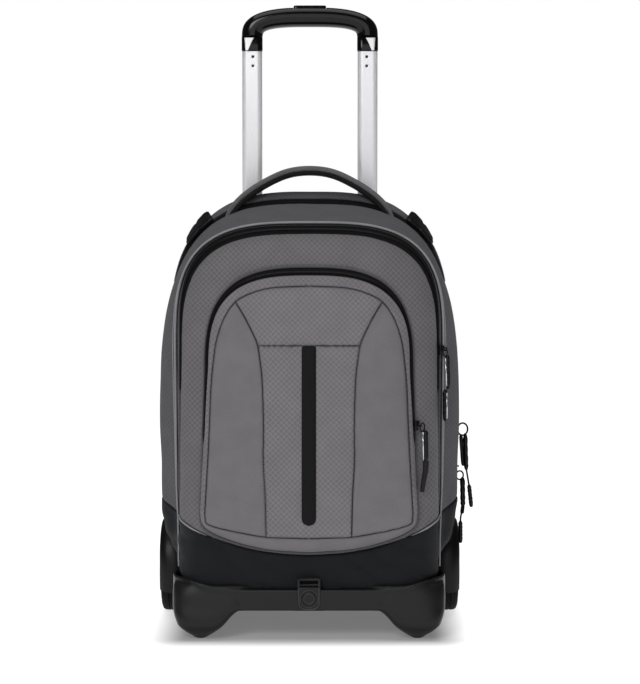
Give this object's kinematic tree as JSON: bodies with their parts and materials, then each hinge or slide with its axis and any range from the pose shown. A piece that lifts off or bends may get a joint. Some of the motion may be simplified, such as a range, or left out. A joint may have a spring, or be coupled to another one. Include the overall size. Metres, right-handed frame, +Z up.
{
  "type": "wheeled backpack",
  "caption": "Soft backpack with zipped compartments and a front pocket, on a moulded base with feet, wheels and a telescopic pull handle.",
  "frame": {"origin": "on the floor, in the middle of the bag's width, between the front feet and the wheels", "axes": "+Z up, the pocket faces -Y, the pull handle is on the +Y side, +X is to the right seen from the front"},
  "size_m": [0.3694, 0.2457, 0.7435],
  "materials": {
    "grey_cloth": "woven polyester",
    "face_cloth": "ripstop polyester",
    "black_cloth": "woven polyester",
    "zip_tape": "coated zip tape",
    "piping_cloth": "bound cord",
    "base_plastic": "moulded, satin",
    "grip_plastic": "moulded, glossy",
    "buckle_plastic": "moulded acetal",
    "aluminium": "satin anodised",
    "tyre": "soft rubber",
    "zip_metal": "black lacquer"
  },
  "bodies": {
    "bag_and_frame": {"rear_compartment": "grey_cloth", "main_gusset": "grey_cloth", "front_compartment": "face_cloth", "boot": "black_cloth", "pocket_rim": "grey_cloth", "pocket_front": "face_cloth", "rear_zip": "zip_tape", "main_zip": "zip_tape", "pocket_zip": "zip_tape", "front_stripe": "black_cloth", "piping": "piping_cloth", "grab_handle": "grey_cloth", "back_pad_top": "black_cloth", "back_pad_left": "black_cloth", "back_pad_right": "black_cloth", "shoulder_strap_left": "black_cloth", "strap_adjuster_left": "buckle_plastic", "strap_webbing_left": "black_cloth", "side_webbing_left": "grey_cloth", "side_buckle_left": "buckle_plastic", "shoulder_strap_right": "black_cloth", "strap_adjuster_right": "buckle_plastic", "strap_webbing_right": "black_cloth", "side_webbing_right": "grey_cloth", "side_buckle_right": "buckle_plastic", "pocket_slider": "zip_metal", "pocket_pull": "zip_metal", "main_slider": "zip_metal", "main_pull": "zip_metal", "rear_slider_high": "zip_metal", "rear_slider_low": "zip_metal", "rear_pull_high": "zip_metal", "rear_pull_low": "zip_metal", "wheel_housing_left": "base_plastic", "axle_left": "zip_metal", "frame_tube_left": "aluminium", "wheel_housing_right": "base_plastic", "axle_right": "zip_metal", "frame_tube_right": "aluminium", "trolley_base": "base_plastic", "frame_bridge": "base_plastic", "latch_tab": "base_plastic", "latch_yoke": "base_plastic"},
    "handle": {"handle_tube_left": "aluminium", "handle_tube_right": "aluminium", "grip_collar_left": "grip_plastic", "grip_collar_right": "grip_plastic", "grip": "grip_plastic"},
    "grip_button": {"grip_button": "grip_plastic"},
    "latch_button": {"latch_button": "base_plastic"},
    "wheel_left": {"tyre_left": "tyre", "hub_left": "base_plastic"},
    "wheel_right": {"tyre_right": "tyre", "hub_right": "base_plastic"}
  },
  "joints": [
    {"name": "handle_slide", "type": "slide", "parent": "bag_and_frame", "child": "handle", "axis": [0, 0, 1], "range_m": [-0.183, 0.16]},
    {"name": "grip_button_press", "type": "slide", "parent": "handle", "child": "grip_button", "axis": [0, 0, -1], "range_m": [0, 0.0015], "stiffness_N_per_m": 500, "springref_m": -0.003},
    {"name": "latch_button_press", "type": "slide", "parent": "bag_and_frame", "child": "latch_button", "axis": [0, 1, 0], "range_m": [0, 0.002], "stiffness_N_per_m": 500, "springref_m": -0.003},
    {"name": "wheel_left_spin", "type": "hinge", "parent": "bag_and_frame", "child": "wheel_left", "pos_m": [-0.165, 0.069, 0.048], "axis": [1, 0, 0], "continuous": true},
    {"name": "wheel_right_spin", "type": "hinge", "parent": "bag_and_frame", "child": "wheel_right", "pos_m": [0.165, 0.069, 0.048], "axis": [1, 0, 0], "continuous": true}
  ]
}
